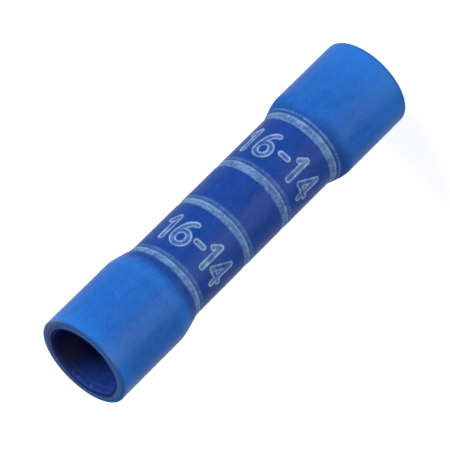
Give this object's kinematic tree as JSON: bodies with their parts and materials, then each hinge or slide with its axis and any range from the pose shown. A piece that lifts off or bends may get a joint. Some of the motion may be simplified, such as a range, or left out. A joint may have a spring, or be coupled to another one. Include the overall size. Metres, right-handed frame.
{
  "type": "butt splice connector",
  "caption": "Insulated butt splice connector: a straight blue nylon sleeve with a bell mouth at each end, over a tinned copper crimp barrel with a wire stop in the middle.",
  "frame": {"origin": "on the tube's axis, in the plane of the lower mouth that it stands on", "axes": "+Z along the tube, from the lower mouth to the upper one; the part is round about it, and the barrel's seam faces +X"},
  "size_m": [0.0062, 0.0062, 0.0267],
  "materials": {
    "blue_nylon": "semi-gloss translucent nylon",
    "tinned_copper": "satin tin plate over copper"
  },
  "bodies": {
    "root": {"insulating_sleeve": "blue_nylon", "crimp_barrel": "tinned_copper"}
  },
  "joints": []
}
